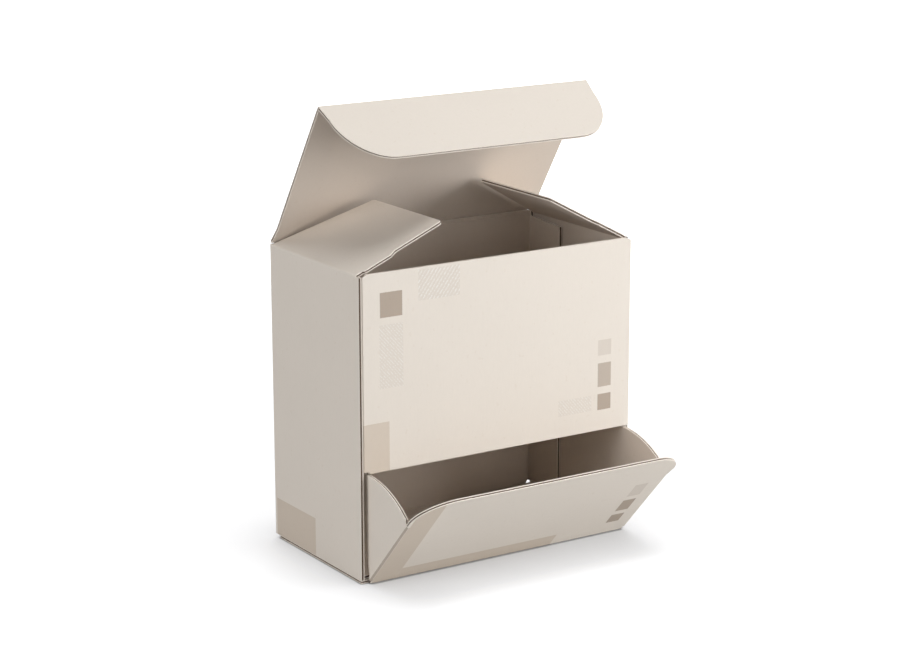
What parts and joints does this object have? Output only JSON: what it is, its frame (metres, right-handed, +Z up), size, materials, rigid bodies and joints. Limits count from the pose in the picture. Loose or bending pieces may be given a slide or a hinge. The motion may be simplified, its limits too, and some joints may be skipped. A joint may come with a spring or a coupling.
{
  "type": "reverse tuck end box",
  "caption": "Micro-flute tuck end carton with a hinged lid and tuck, dust flaps, a front dispensing opening and a tilt-out hopper.",
  "frame": {"origin": "centre of the box's footprint on the underside of the base panel", "axes": "+Z up, the front with the dispensing opening faces -Y, +X to the right seen from the front"},
  "size_m": [0.14, 0.1166, 0.2011],
  "materials": {
    "board": "uncoated cream micro-flute board, matte, with tan printed fields"
  },
  "bodies": {
    "carton": {"rear_shell": "board", "front_shell": "board", "base_panel": "board"},
    "hopper": {"hopper": "board"},
    "lid": {"lid": "board"},
    "lid_tuck": {"lid_tuck": "board"},
    "left_dust_flap": {"left_dust_flap": "board"},
    "right_dust_flap": {"right_dust_flap": "board"}
  },
  "joints": [
    {"name": "hopper_tilt", "type": "hinge", "parent": "carton", "child": "hopper", "pos_m": [0, -0.03725, 0.00075], "axis": [1, 0, 0], "range_deg": [-39.2, 0]},
    {"name": "lid_fold", "type": "hinge", "parent": "carton", "child": "lid", "pos_m": [0, 0.03725, 0.13625], "axis": [-1, 0, 0], "range_deg": [-57, 128]},
    {"name": "tuck_fold", "type": "hinge", "parent": "lid", "child": "lid_tuck", "pos_m": [0, -0.00436, 0.20032], "axis": [-1, 0, 0], "range_deg": [0, 90]},
    {"name": "left_dust_fold", "type": "hinge", "parent": "carton", "child": "left_dust_flap", "pos_m": [-0.06925, 0, 0.13445], "axis": [0, -1, 0], "range_deg": [-34.5, 77]},
    {"name": "right_dust_fold", "type": "hinge", "parent": "carton", "child": "right_dust_flap", "pos_m": [0.06925, 0, 0.13445], "axis": [0, 1, 0], "range_deg": [-37.5, 83.5]}
  ],
  "couplings": [
    {"joint": "left_dust_fold", "follows": "lid_fold", "ratio": 0.6},
    {"joint": "right_dust_fold", "follows": "lid_fold", "ratio": 0.65}
  ]
}
